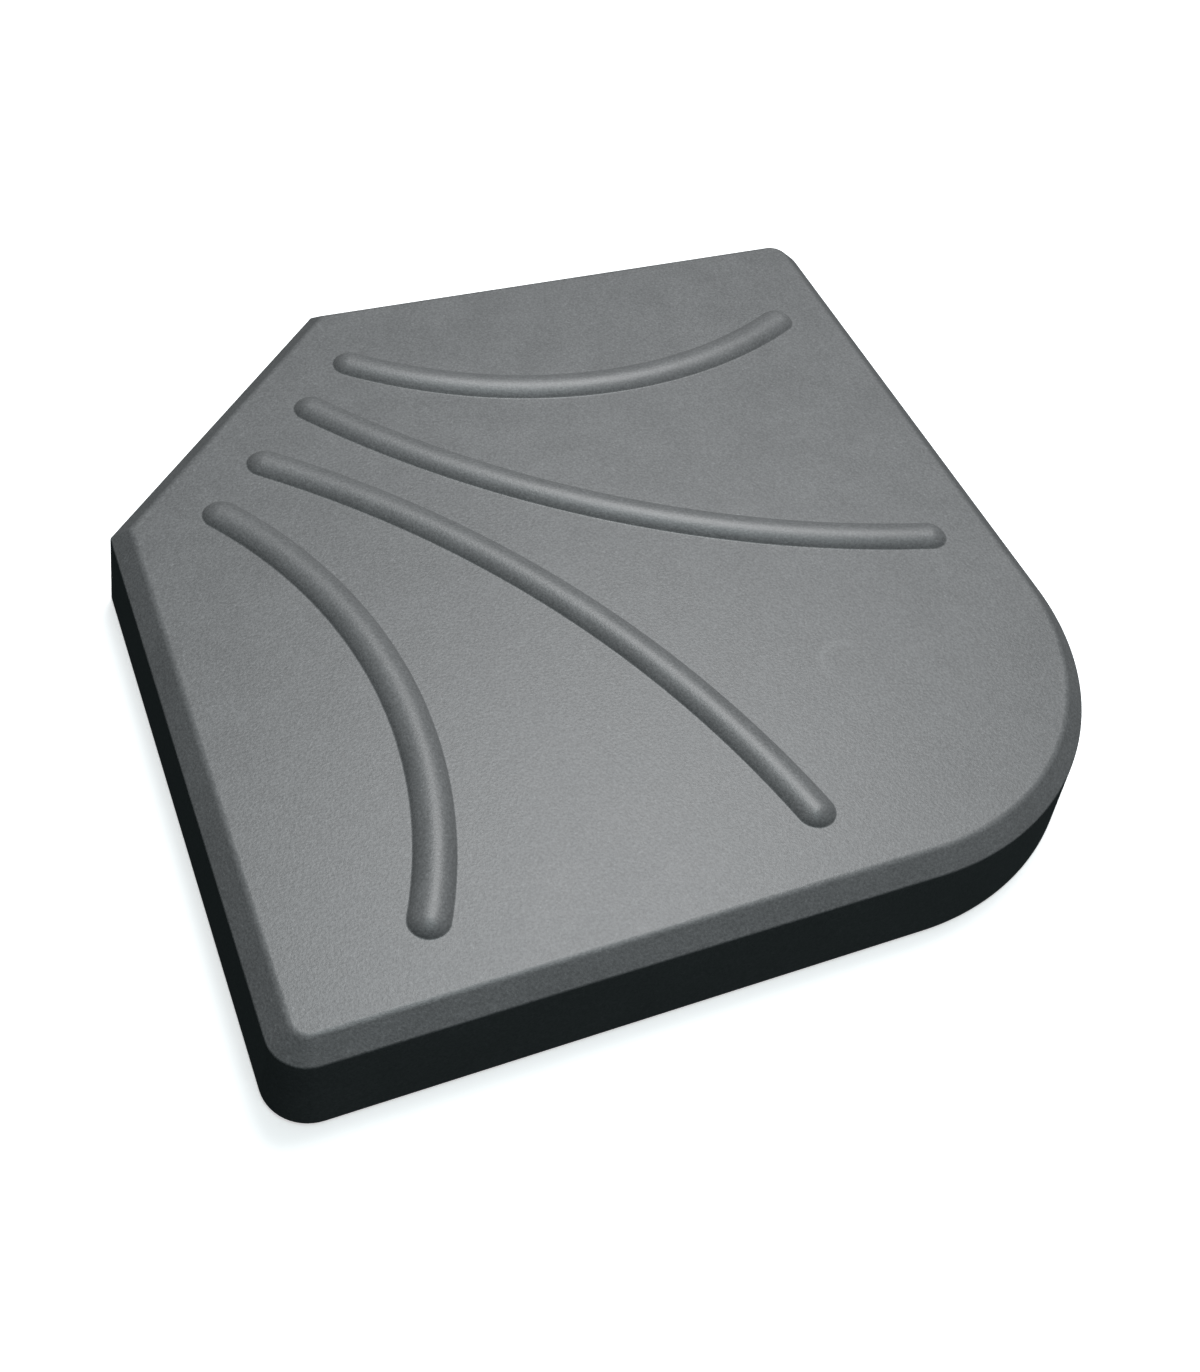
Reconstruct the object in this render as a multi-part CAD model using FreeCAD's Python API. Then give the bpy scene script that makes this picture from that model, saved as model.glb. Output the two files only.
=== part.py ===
import FreeCAD, Part
import math
import os

# Ballast slab for the cross base of a cantilever parasol.
#
# A moulded plastic shell, open below, is filled with cast concrete and closed by a base plate that is
# screwed to bosses inside the shell's wall. The concrete goes in through a port in the base plate, a snap
# plug closes the port, and three small plugs close the air vents. Six rubber feet push into the plate.
#
# Frame: millimetres, +Z up, origin on the ground at the centre of the square footprint. The cut corner
# that clears the mast points to -X +Y and the large round corner to +X -Y.

V = FreeCAD.Vector
UP = V(0, 0, 1)

# ---- footprint of the shell, at its lower rim
base_side = 480.0            # side of the square that bounds the footprint
corner_cut = 152.0           # leg of the corner cut away for the mast
big_radius = 153.5           # the outer corner, opposite the cut
small_radius = 23.0          # the two corners beside it
cut_radius = 6.0             # the two blunt corners at the ends of the cut
least_radius = 2.0           # a corner never gets sharper than this as the outline moves in

# ---- section of the shell
shell_height = 53.0          # lower rim to top face
foot_lift = 3.0              # height at which the feet hold the rim
wall_draft = 4.0             # how far the wall leans in between rim and shoulder
bevel_width = 10.5
bevel_drop = 9.0
shell_wall = 3.5
top_edge_radius = 5.0        # between top face and bevel
shoulder_radius = 2.0        # between bevel and wall

# ---- raised ribs on the top face, two pairs mirrored about the slab's diagonal
rib_width = 20.0
rib_height = 5.5
rib_root_radius = 1.0
rib_start_inset = 45.7       # from the cut edge of the shoulder to the ribs' first ends
rib_end_inset = 47.8         # from the side of the shoulder to the ribs' last ends
outer_rib_start = 70.8       # distance of the first ends from the diagonal
inner_rib_start = 25.7
outer_rib_end = 81.7         # last end of the outer rib, from the next side of the shoulder
inner_rib_end = -39.5        # last end of the inner rib, from the middle of its side
outer_rib_radius = 253.5
inner_rib_radius = 540.0

# ---- base plate and its seat in the shell
plate_thickness = 3.0
plate_recess = 2.0           # rim stands this far below the plate
lip_thickness = 2.0          # shell wall left outside the plate
plate_gap = 0.4              # around the plate's edge
cure_gap = 0.2               # shrinkage of the concrete away from the plastic
stiffener_height = 1.5       # lattice under the plate
stiffener_width = 2.4
stiffener_pitch = 52.0
stiffener_border = 26.0      # from the footprint to the lattice's frame
pad_margin = 3.0             # free ring that the lattice leaves around feet, port and vents

# ---- screws and their bosses
screw_inset = 13.5           # from the footprint to the row of screws
screw_share = 0.2            # distance of a screw from the end of a straight side, as a share of the side
screw_diameter = 4.0
screw_root = 2.8
screw_length = 20.0
screw_pitch = 1.6
head_diameter = 8.0
head_height = 2.2
screw_gap = 0.05             # between thread and boss, and under the head
hole_gap = 0.3               # around the shank in the plate
recess_span = 4.4            # cross recess of the head
recess_slot = 0.9
recess_depth = 1.4
boss_diameter = 11.0
boss_web = 3.0
pilot_reserve = 3.0          # pilot hole beyond the screw's tip

# ---- feet
foot_diameter = 30.0
foot_seat = 1.0              # depth of the round seat in the plate
foot_edge = 0.8
foot_inset = 46.0            # from the footprint to a foot's centre
groove_width = 1.6
groove_depth = 0.8
groove_radii = (5.0, 9.0)
stem_diameter = 6.0
barb_diameter = 9.0
barb_height = 3.0
push_gap = 0.1               # around stems and in seats

# ---- filling port and its plug
port_offset = 102.0          # port centre from the origin, in X and in -Y
port_diameter = 40.0
port_collar = 3.5
port_rise = 8.0              # collar above the plate
plug_flange = 48.0
flange_thickness = 2.0
plug_wall = 2.2
plug_rise = 8.0              # skirt above the flange
bead_height = 0.35           # snap bead on the skirt
bead_width = 1.6
bead_level = 5.6             # middle of the bead above the flange
slot_length = 22.0           # coin slot in the flange
slot_width = 2.6
slot_depth = 1.2

# ---- air vents
vent_diameter = 8.0
vent_flange = 13.0
vent_flange_thickness = 1.2
vent_stem = 7.0              # stem above the flange
vent_taper = 1.0             # on the stem's tip
vent_inset = 82.0            # from the footprint to a vent's centre

# ---- levels that follow from the above
z_rim = foot_lift
z_shoulder = z_rim + shell_height - bevel_drop
z_top = z_rim + shell_height
z_plate = z_rim + plate_recess
z_seat = z_plate + plate_thickness
embed = 1.0                  # how far fused features reach into the solid that they stand on


def outline_corners(inset):
    """Corner points and radii of the footprint moved in by inset, from front left, anticlockwise."""
    half = base_side / 2 - inset
    leg = corner_cut - inset * (2 - math.sqrt(2))
    radii = [max(r - inset, least_radius) for r in (small_radius, big_radius, small_radius)]
    blunt = max(cut_radius - inset, least_radius)
    return [
        (V(-half, -half, 0), radii[0]),
        (V(half, -half, 0), radii[1]),
        (V(half, half, 0), radii[2]),
        (V(leg - half, half, 0), blunt),
        (V(-half, half - leg, 0), blunt),
    ]


def corner_arcs(inset):
    """For each corner: where the arc starts, its middle, where it ends, and the way out of its middle."""
    corners = outline_corners(inset)
    arcs = []
    for i, (point, radius) in enumerate(corners):
        back = (corners[i - 1][0] - point).normalize()
        ahead = (corners[(i + 1) % len(corners)][0] - point).normalize()
        inward = (back + ahead).normalize()
        half_angle = back.getAngle(ahead) / 2
        centre = point + inward * (radius / math.sin(half_angle))
        reach = radius / math.tan(half_angle)
        arcs.append((point + back * reach, centre - inward * radius, point + ahead * reach, inward * -1))
    return arcs


def outline(inset, z):
    """The slab's outline moved in by inset, as a wire at height z."""
    arcs = corner_arcs(inset)
    lift = V(0, 0, z)
    edges = []
    for i, (start, middle, end, _) in enumerate(arcs):
        following = arcs[(i + 1) % len(arcs)][0]
        edges.append(Part.Arc(start + lift, middle + lift, end + lift).toShape())
        edges.append(Part.makeLine(end + lift, following + lift))
    return Part.Wire(edges)


def prism(inset, low, high):
    """A straight-sided slab between two heights."""
    return Part.Face(outline(inset, low)).extrude(V(0, 0, high - low))


def section(depth):
    """Inset and height at rim, shoulder and top edge of the surface that lies depth under the outside."""
    lean = math.atan2(wall_draft, z_shoulder - z_rim)
    slope = math.atan2(bevel_drop, bevel_width)
    wall_inset = depth / math.cos(lean)
    slack = depth * math.tan((math.pi / 2 - lean - slope) / 2)
    shoulder = (
        wall_draft + depth * math.cos(lean) - slack * math.sin(lean),
        z_shoulder - depth * math.sin(lean) - slack * math.cos(lean),
    )
    shift = depth * math.tan(slope / 2)
    top = (wall_draft + bevel_width + shift, z_top - depth)
    return wall_inset, shoulder, top


def slab_body(depth, low):
    """The slab's solid with every face moved in by depth, from height low up, without ribs."""
    rim_inset, shoulder, top = section(depth)
    lean = wall_draft / (z_shoulder - z_rim)
    foot = rim_inset + lean * (low - z_rim)
    wires = [outline(foot, low), outline(*shoulder), outline(*top)]
    return Part.makeLoft(wires, True, True)


def rib_paths():
    """Start, end and centre of each rib's arc, the mirrored one after each."""
    shoulder_half = base_side / 2 - wall_draft
    leg = corner_cut - wall_draft * (2 - math.sqrt(2))
    cut_distance = (2 * shoulder_half - leg) / math.sqrt(2)
    start_line = cut_distance - rib_start_inset
    end_x = shoulder_half - rib_end_inset
    paths = []
    for aside, end_y, radius in (
        (outer_rib_start, shoulder_half - outer_rib_end, outer_rib_radius),
        (inner_rib_start, inner_rib_end, inner_rib_radius),
    ):
        start = V((aside - start_line) / math.sqrt(2), (aside + start_line) / math.sqrt(2), 0)
        end = V(end_x, end_y, 0)
        chord = end - start
        middle = (start + end) / 2
        height = math.sqrt(radius ** 2 - chord.Length ** 2 / 4)
        centre = middle + UP.cross(chord).normalize() * height
        paths.append((start, end, centre))
        paths.append(tuple(V(-p.y, -p.x, 0) for p in (end, start, centre)))
    return paths


def rib_solid(path, depth):
    """One rib, a round-ended bead along an arc, with its surface moved in by depth."""
    start, end, centre = path
    crown = (rib_width ** 2 / 4 + rib_height ** 2) / (2 * rib_height)
    centre_z = z_top + rib_height - crown
    radius = crown - depth
    low = z_top - depth - embed
    half_width = math.sqrt(radius ** 2 - (low - centre_z) ** 2)
    out = (start - centre).normalize()

    def at(across, z):
        return start + out * across + V(0, 0, z)

    def side(across):
        angle = math.asin(abs(across) / radius) / 2
        return at(math.copysign(radius * math.sin(angle), across), centre_z + radius * math.cos(angle))

    peak = at(0, centre_z + radius)
    halves = []
    for width in (-half_width, half_width):
        arc = Part.Arc(at(width, low), side(width), peak).toShape()
        down = Part.makeLine(peak, at(0, low))
        floor = Part.makeLine(at(0, low), at(width, low))
        halves.append(Part.Face(Part.Wire([arc, down, floor])))
    swing = math.degrees((start - centre).getAngle(end - centre))
    bead = halves[0].revolve(centre, UP, swing).fuse(halves[1].revolve(centre, UP, swing))
    first_cap = halves[1].revolve(start, UP, -180)
    second_face = halves[1].copy()
    second_face.rotate(centre, UP, swing)
    second_cap = second_face.revolve(end, UP, 180)
    return bead.fuse([first_cap, second_cap]).removeSplitter()


def ribbed_body(depth, low):
    """The slab's solid with its ribs, every face moved in by depth."""
    body = slab_body(depth, low)
    return body.fuse([rib_solid(path, depth) for path in rib_paths()]).removeSplitter()


def flat_face_at(shape, z):
    """The largest level face of a shape at height z."""
    level = [f for f in shape.Faces if abs(f.BoundBox.ZMin - z) < 1e-4 and abs(f.BoundBox.ZMax - z) < 1e-4]
    return max(level, key=lambda f: f.Area)


def edges_at(shape, z):
    """The outer level edges of a shape at height z."""
    return [e for e in shape.Edges if abs(e.BoundBox.ZMin - z) < 1e-4 and abs(e.BoundBox.ZMax - z) < 1e-4]


def softened_outside():
    """The shell's outside: bevelled slab with rounded edges, ribs added and blended at their roots."""
    body = slab_body(0, z_rim)
    body = body.makeFillet(top_edge_radius, edges_at(body, z_top))
    body = body.makeFillet(shoulder_radius, edges_at(body, z_shoulder))
    body = body.fuse([rib_solid(path, 0) for path in rib_paths()]).removeSplitter()
    top = flat_face_at(body, z_top)
    roots = [e for wire in top.Wires if not wire.isSame(top.OuterWire) for e in wire.Edges]
    return body.makeFillet(rib_root_radius, roots)


def screw_places():
    """Place of each screw and the way from it to the nearest wall: two a side, one in the big corner."""
    arcs = corner_arcs(screw_inset)
    places = []
    for i, arc in enumerate(arcs):
        start, end = arc[2], arcs[(i + 1) % len(arcs)][0]
        run = end - start
        outward = run.cross(UP).normalize()
        places += [(start + run * share, outward) for share in (screw_share, 1 - screw_share)]
    _, middle, _, outward = arcs[1]
    places.append((middle, outward))
    return places


def foot_places():
    """Name and centre of each foot: one by every corner and one in the middle."""
    arcs = corner_arcs(foot_inset)
    names = ("front_left", "front_right", "back_right", "cut_back", "cut_left")
    places = [("foot_" + name, arc[1]) for name, arc in zip(names, arcs)]
    return places + [("foot_centre", V(0, 0, 0))]


def vent_places():
    """Name and centre of each air vent, in the corners that lie furthest from the port."""
    corners = [point for point, _ in outline_corners(vent_inset)]
    cut_middle = (corners[3] + corners[4]) / 2
    names = ("vent_plug_front_left", "vent_plug_back_right", "vent_plug_cut")
    return list(zip(names, (corners[0], corners[2], cut_middle)))


def port_centre():
    return V(port_offset, -port_offset, 0)


def cylinder(place, z, radius, height):
    return Part.makeCylinder(radius, height, V(place.x, place.y, z))


def turned(points, place):
    """A solid of revolution about the vertical through place, from (radius, height) points."""
    ring = [place + V(r, 0, z) for r, z in points]
    return Part.Face(Part.makePolygon(ring + ring[:1])).revolve(place, UP, 360)


def boss(spot, grow):
    """A screw boss with its web to the wall, made larger by grow."""
    place, outward = spot
    radius = boss_diameter / 2 + grow
    width = boss_web + 2 * grow
    height = z_top - z_seat
    web = Part.makeBox(screw_inset, width, height, V(0, -width / 2, 0))
    web.rotate(V(0, 0, 0), UP, math.degrees(math.atan2(outward.y, outward.x)))
    web.translate(place + V(0, 0, z_seat))
    return cylinder(place, z_seat, radius, height).fuse(web)


def outer_shell():
    outside = softened_outside()
    cavity = ribbed_body(shell_wall, z_seat)
    lift_out = prism(lip_thickness, z_rim - embed, z_seat)
    spots = screw_places()
    bosses = [boss(spot, 0).common(cavity) for spot in spots]
    pilot = screw_diameter / 2 + screw_gap
    depth = screw_length - plate_thickness + pilot_reserve
    pilots = [cylinder(place, z_seat - embed, pilot, depth + embed) for place, _ in spots]
    hollow = outside.cut([cavity, lift_out])
    return hollow.fuse(bosses).removeSplitter().cut(pilots)


def concrete_core():
    body = ribbed_body(shell_wall + cure_gap, z_seat + cure_gap)
    pockets = [boss(spot, cure_gap) for spot in screw_places()]
    barb = barb_diameter / 2 + cure_gap
    pockets += [cylinder(p, z_seat - embed, barb, embed + barb_height + cure_gap) for _, p in foot_places()]
    vent = vent_diameter / 2 + cure_gap
    stem_rise = vent_stem - plate_thickness + vent_flange_thickness
    pockets += [cylinder(p, z_seat - embed, vent, embed + stem_rise + cure_gap) for _, p in vent_places()]
    collar = port_diameter / 2 + port_collar + cure_gap
    pockets.append(cylinder(port_centre(), z_seat - embed, collar, embed + port_rise + cure_gap))
    return body.cut(pockets)


def lattice():
    """Stiffening ribs under the plate: a frame and a square grid, clear of feet, port, vents and screws."""
    low = z_plate - stiffener_height
    inner_border = stiffener_border + stiffener_width
    frame = prism(stiffener_border, low, z_plate).cut(prism(inner_border, low, z_plate))
    span = base_side - 2 * stiffener_border
    bars = []
    count = int(span / 2 / stiffener_pitch)
    for i in range(-count, count + 1):
        at = i * stiffener_pitch - stiffener_width / 2
        bars.append(Part.makeBox(stiffener_width, span, stiffener_height, V(at, -span / 2, low)))
        bars.append(Part.makeBox(span, stiffener_width, stiffener_height, V(-span / 2, at, low)))
    grid = bars[0].fuse(bars[1:]).common(prism(stiffener_border + stiffener_width / 2, low, z_plate))
    clear = [(p, foot_diameter / 2) for _, p in foot_places()]
    clear += [(p, vent_flange / 2) for _, p in vent_places()]
    clear.append((port_centre(), plug_flange / 2))
    clear += [(p, head_diameter / 2) for p, _ in screw_places()]
    holes = [cylinder(p, low, r + pad_margin, stiffener_height) for p, r in clear]
    return frame.fuse(grid).removeSplitter().cut(holes)


def base_plate():
    plate = prism(lip_thickness + plate_gap, z_plate, z_seat)
    centre = port_centre()
    collar = port_diameter / 2 + port_collar
    flange_seat = plug_flange / 2 + push_gap
    raised = cylinder(centre, z_plate, collar, plate_thickness + port_rise)
    plate = plate.fuse([raised, lattice()]).removeSplitter()
    cuts = [
        cylinder(centre, z_plate - embed, port_diameter / 2, plate_thickness + port_rise + 2 * embed),
        cylinder(centre, z_plate - embed, flange_seat, flange_thickness + embed),
        turned(snap_profile(push_gap), centre),
    ]
    for _, place in foot_places():
        cuts.append(cylinder(place, z_plate - embed, foot_diameter / 2 + push_gap, foot_seat + embed))
        cuts.append(cylinder(place, z_plate, stem_diameter / 2 + push_gap, plate_thickness + embed))
    vent_seat = vent_flange / 2 + push_gap
    for _, place in vent_places():
        cuts.append(cylinder(place, z_plate, vent_diameter / 2, plate_thickness + embed))
        cuts.append(cylinder(place, z_plate - embed, vent_seat, vent_flange_thickness + embed))
    shank = screw_diameter / 2 + hole_gap
    head = head_diameter / 2 + screw_gap
    for place, _ in screw_places():
        cuts.append(cylinder(place, z_plate, shank, plate_thickness + embed))
        sink = [(0, z_plate - embed), (head, z_plate - embed), (head, z_plate)]
        sink += [(shank, z_plate + head_height), (0, z_plate + head_height)]
        cuts.append(turned(sink, place))
    return plate.cut(cuts)


def snap_profile(gap):
    """Section of the snap bead around the plug's skirt, larger by gap, as a closed ring."""
    skirt = port_diameter / 2 - push_gap
    middle = z_plate + flange_thickness + bead_level
    half = bead_width / 2 + gap
    return [(skirt - embed / 2, middle - half), (skirt, middle - half), (skirt + bead_height + gap, middle),
            (skirt, middle + half), (skirt - embed / 2, middle + half)]


def fill_plug():
    centre = port_centre()
    skirt = port_diameter / 2 - push_gap
    flange = cylinder(centre, z_plate, plug_flange / 2, flange_thickness)
    tube = cylinder(centre, z_plate, skirt, flange_thickness + plug_rise)
    bead = turned(snap_profile(0), centre)
    inside = cylinder(centre, z_plate + flange_thickness, skirt - plug_wall, plug_rise + embed)
    slot = Part.makeBox(slot_length, slot_width, slot_depth + embed)
    slot.translate(centre + V(-slot_length / 2, -slot_width / 2, z_plate - embed))
    return flange.fuse([tube, bead]).removeSplitter().cut([inside, slot])


def vent_plug(place):
    head = cylinder(place, z_plate, vent_flange / 2, vent_flange_thickness)
    radius = vent_diameter / 2 - push_gap
    top = z_plate + vent_flange_thickness + vent_stem
    low = z_plate + vent_flange_thickness
    profile = [(0, low), (radius, low), (radius, top - vent_taper), (radius - vent_taper, top), (0, top)]
    return head.fuse(turned(profile, place)).removeSplitter()


def foot(place):
    """A rubber pad with grooves below and a barbed stem above that holds it in the plate."""
    radius = foot_diameter / 2
    pad_top = z_plate + foot_seat
    stem = stem_diameter / 2
    barb = barb_diameter / 2
    tip = z_seat + barb_height
    profile = [(0, 0), (radius - foot_edge, 0), (radius, foot_edge), (radius, pad_top), (stem, pad_top),
               (stem, z_seat), (barb, z_seat), (stem - push_gap, tip), (0, tip)]
    pad = turned(profile, place)
    for groove in groove_radii:
        ring = cylinder(place, -embed, groove + groove_width / 2, groove_depth + embed)
        pad = pad.cut(ring.cut(cylinder(place, -embed, groove - groove_width / 2, groove_depth + embed)))
    return pad


def screw(place):
    """A countersunk self-tapping screw: ringed thread, point and cross recess."""
    root, crest = screw_root / 2, screw_diameter / 2
    head = head_diameter / 2 - screw_gap
    base = z_plate + screw_gap
    neck = base + head_height
    tip = base + screw_length
    profile = [(0, base), (head, base), (crest, neck), (root, neck + screw_pitch / 2)]
    z = z_seat + screw_pitch / 2
    while z + 2 * screw_pitch < tip:
        profile += [(root, z), (crest, z + screw_pitch / 4), (crest, z + screw_pitch / 2),
                    (root, z + 3 * screw_pitch / 4)]
        z += screw_pitch
    profile += [(root, tip - screw_pitch), (0, tip)]
    solid = turned(profile, place)
    arms = []
    for length, width in ((recess_span, recess_slot), (recess_slot, recess_span)):
        corner = V(-length / 2, -width / 2, -embed)
        arms.append(Part.makeBox(length, width, recess_depth + embed, corner))
    cross = arms[0].fuse(arms[1])
    cross.translate(place + V(0, 0, base))
    return solid.cut(cross)


def write(name, shape):
    shape.exportStep("parts/" + name + ".step")


def main():
    os.makedirs("parts", exist_ok=True)
    write("outer_shell", outer_shell())
    write("concrete_core", concrete_core())
    write("base_plate", base_plate())
    write("fill_plug", fill_plug())
    for name, place in vent_places():
        write(name, vent_plug(place))
    for name, place in foot_places():
        write(name, foot(place))
    write("base_plate_screws", Part.makeCompound([screw(place) for place, _ in screw_places()]))


main()
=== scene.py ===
import math
import bmesh
import bpy
from mathutils import Matrix, Vector


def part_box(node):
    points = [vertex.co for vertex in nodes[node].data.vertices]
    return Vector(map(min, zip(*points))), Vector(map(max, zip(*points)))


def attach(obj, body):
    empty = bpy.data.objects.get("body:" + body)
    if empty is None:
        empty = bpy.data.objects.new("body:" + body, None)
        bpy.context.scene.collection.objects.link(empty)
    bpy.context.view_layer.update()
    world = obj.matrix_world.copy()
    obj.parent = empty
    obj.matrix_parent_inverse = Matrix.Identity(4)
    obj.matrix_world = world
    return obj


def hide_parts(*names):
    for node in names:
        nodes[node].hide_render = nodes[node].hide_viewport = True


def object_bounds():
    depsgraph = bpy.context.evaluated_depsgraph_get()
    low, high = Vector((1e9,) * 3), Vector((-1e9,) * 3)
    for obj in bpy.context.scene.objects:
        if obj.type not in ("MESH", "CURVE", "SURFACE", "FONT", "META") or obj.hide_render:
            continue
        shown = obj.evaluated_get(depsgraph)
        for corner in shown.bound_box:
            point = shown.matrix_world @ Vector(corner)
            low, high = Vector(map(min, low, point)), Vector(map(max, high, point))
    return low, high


# Ballast slab of a parasol stand: moulded shell, concrete filling, base plate, plugs, feet
# and screws. Metres, +Z up, the slab's cut corner points to -X +Y.

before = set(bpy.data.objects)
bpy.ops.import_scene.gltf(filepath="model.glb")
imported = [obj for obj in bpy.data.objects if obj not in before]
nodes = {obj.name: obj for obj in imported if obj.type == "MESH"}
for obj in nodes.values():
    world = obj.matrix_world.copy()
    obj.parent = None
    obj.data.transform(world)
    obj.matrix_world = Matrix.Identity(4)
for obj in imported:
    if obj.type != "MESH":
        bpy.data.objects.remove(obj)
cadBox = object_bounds()
scene = bpy.context.scene
mm = 0.001
print("stage 1: frame loaded,", len(nodes), "nodes")


# small helpers for shader and geometry trees

def newMaterial(name):
    material = bpy.data.materials.new(name)
    material.use_nodes = True
    tree = material.node_tree
    tree.nodes.clear()
    return material, tree


def addNode(tree, kind, settings=None, inputs=None):
    node = tree.nodes.new(kind)
    for key, value in (settings or {}).items():
        setattr(node, key, value)
    for key, value in (inputs or {}).items():
        node.inputs[key].default_value = value
    return node


def join(tree, value, socket):              # a link for a socket, a fixed value for anything else
    if isinstance(value, bpy.types.NodeSocket):
        tree.links.new(value, socket)
    else:
        socket.default_value = value


def calc(tree, operation, *values):
    node = addNode(tree, "ShaderNodeMath", {"operation": operation})
    for socket, value in zip(node.inputs, values):
        join(tree, value, socket)
    return node.outputs["Value"]


def calcVector(tree, operation, *values):
    node = addNode(tree, "ShaderNodeVectorMath", {"operation": operation})
    sockets = [node.inputs[0], node.inputs["Scale"]] if operation == "SCALE" else node.inputs
    for socket, value in zip(sockets, values):
        join(tree, value, socket)
    return node.outputs["Value" if operation in ("LENGTH", "DOT_PRODUCT") else "Vector"]


def addNoise(tree, place, scale, detail=2.0, rough=0.5, stretch=(1, 1, 1)):
    mapping = addNode(tree, "ShaderNodeMapping", inputs={"Scale": stretch})
    tree.links.new(place, mapping.inputs["Vector"])
    inputs = {"Scale": scale, "Detail": detail, "Roughness": rough}
    noise = addNode(tree, "ShaderNodeTexNoise", inputs=inputs)
    tree.links.new(mapping.outputs["Vector"], noise.inputs["Vector"])
    return noise.outputs["Fac"]


def addCells(tree, place, scale):
    cells = addNode(tree, "ShaderNodeTexVoronoi", {"feature": "F1"}, {"Scale": scale})
    tree.links.new(place, cells.inputs["Vector"])
    return cells.outputs["Distance"]


def addRange(tree, value, low, high, newLow=0.0, newHigh=1.0, smooth=True):
    kind = "SMOOTHSTEP" if smooth else "LINEAR"
    inputs = {"From Min": low, "From Max": high, "To Min": newLow, "To Max": newHigh}
    node = addNode(tree, "ShaderNodeMapRange", {"interpolation_type": kind, "clamp": True}, inputs)
    tree.links.new(value, node.inputs["Value"])
    return node.outputs["Result"]


def addMix(tree, share, first, second):
    node = addNode(tree, "ShaderNodeMix", {"data_type": "RGBA", "blend_type": "MIX"})
    sockets = (node.inputs[0], node.inputs[6], node.inputs[7])     # factor and the two colours
    for socket, value in zip(sockets, (share, first, second)):
        join(tree, value, socket)
    return node.outputs[2]


def addBump(tree, height, distance, strength, under=None):
    node = addNode(tree, "ShaderNodeBump", inputs={"Distance": distance, "Strength": strength})
    tree.links.new(height, node.inputs["Height"])
    if under is not None:
        tree.links.new(under, node.inputs["Normal"])
    return node.outputs["Normal"]


def finishMaterial(tree, colour, roughness, normal, fixed=None):
    shader = addNode(tree, "ShaderNodeBsdfPrincipled", inputs=fixed)
    tree.links.new(colour, shader.inputs["Base Color"])
    tree.links.new(roughness, shader.inputs["Roughness"])
    tree.links.new(normal, shader.inputs["Normal"])
    output = addNode(tree, "ShaderNodeOutputMaterial")
    tree.links.new(shader.outputs["BSDF"], output.inputs["Surface"])


def objectPlace(tree):
    return addNode(tree, "ShaderNodeTexCoord").outputs["Object"]


def dress(names, material):
    for name in names:
        mesh = nodes[name].data
        mesh.materials.clear()
        mesh.materials.append(material)


# moulded shell: the outside with its beads, the cavity, the lip and the screw bosses

shellShape = {                  # millimetres
    "cornerCut": 152.0,
    "cornerRadii": (23.0, 153.5, 23.0, 6.0, 6.0),
    "cornerSteps": (14, 72, 14, 6, 6),
    "wideCorner": 1,            # which of them is the wide one
    "leastRadius": 2.0,
    "wallDraft": 4.0,
    "bevelWidth": 10.5,
    "bevelDrop": 9.0,
    "topEdgeRadius": 5.0,
    "shoulderRadius": 2.0,
    "edgeSteps": 12,
    "wall": 3.5,
    "lipThickness": 2.0,
    "lipHeight": 5.0,
    "sharpAngle": 38.0,         # degrees, edges above it are shaded sharp
    "flatWeight": 60,           # how strongly the large faces steer the shading
}
beadShape = {                   # millimetres
    "width": 20.0,
    "rise": 5.5,
    "rootRadius": 1.0,
    "startInset": 45.7,
    "endInset": 47.8,
    "outerBead": (70.8, 81.7, 253.5),       # first end from the diagonal, last from the side,
    "innerBead": (25.7, -39.5, 540.0),      # and the radius; this one's last end is given by Y
    "arcPoints": 480,
    "alongSteps": 96,
    "capSteps": 26,
    "crownSteps": 14,
    "rootSteps": 6,
}
bossShape = {                   # millimetres
    "inset": 13.5,
    "share": 0.2,               # of a straight side, from either end
    "diameter": 11.0,
    "sides": 40,
    "pilot": 4.1,
    "pilotDepth": 20.0,
    "web": 3.0,
    "webStart": 0.8,            # of the post's radius, so the web begins inside it
    "webFoot": 2.2,             # the web's outer edge below and above, from the footprint
    "webHead": 5.7,
    "bite": 0.8,                # how far posts and webs reach into the wall
}
mergeDistance = 0.005 * mm
levelSlack = 0.01 * mm
shellLow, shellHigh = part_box("outer_shell")
halfSide = (shellHigh[0] - shellLow[0]) / 2 / mm
rimLevel = shellLow[2] / mm
topLevel = shellHigh[2] / mm - beadShape["rise"]
shoulderLevel = topLevel - shellShape["bevelDrop"]


def outlineCorners(inset):      # the footprint's corners and their radii, moved inwards
    half = halfSide - inset
    leg = shellShape["cornerCut"] - inset * (2 - math.sqrt(2))
    spots = ((-half, -half), (half, -half), (half, half), (leg - half, half), (-half, half - leg))
    least = shellShape["leastRadius"]
    radii = [max(radius - inset, least) for radius in shellShape["cornerRadii"]]
    return [Vector(spot) for spot in spots], radii


def outlineRing(inset):
    spots, radii = outlineCorners(inset)
    ring = []
    for i, (spot, radius) in enumerate(zip(spots, radii)):
        back = (spots[i - 1] - spot).normalized()
        ahead = (spots[(i + 1) % len(spots)] - spot).normalized()
        inward = (back + ahead).normalized()
        halfAngle = back.angle(ahead) / 2
        centre = spot + inward * (radius / math.sin(halfAngle))
        first = spot + back * (radius / math.tan(halfAngle)) - centre
        sweepAngle = math.pi - 2 * halfAngle
        steps = shellShape["cornerSteps"][i]
        for k in range(steps + 1):
            turn = Matrix.Rotation(sweepAngle * k / steps, 2)
            ring.append(centre + turn @ first)
    return ring


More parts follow.
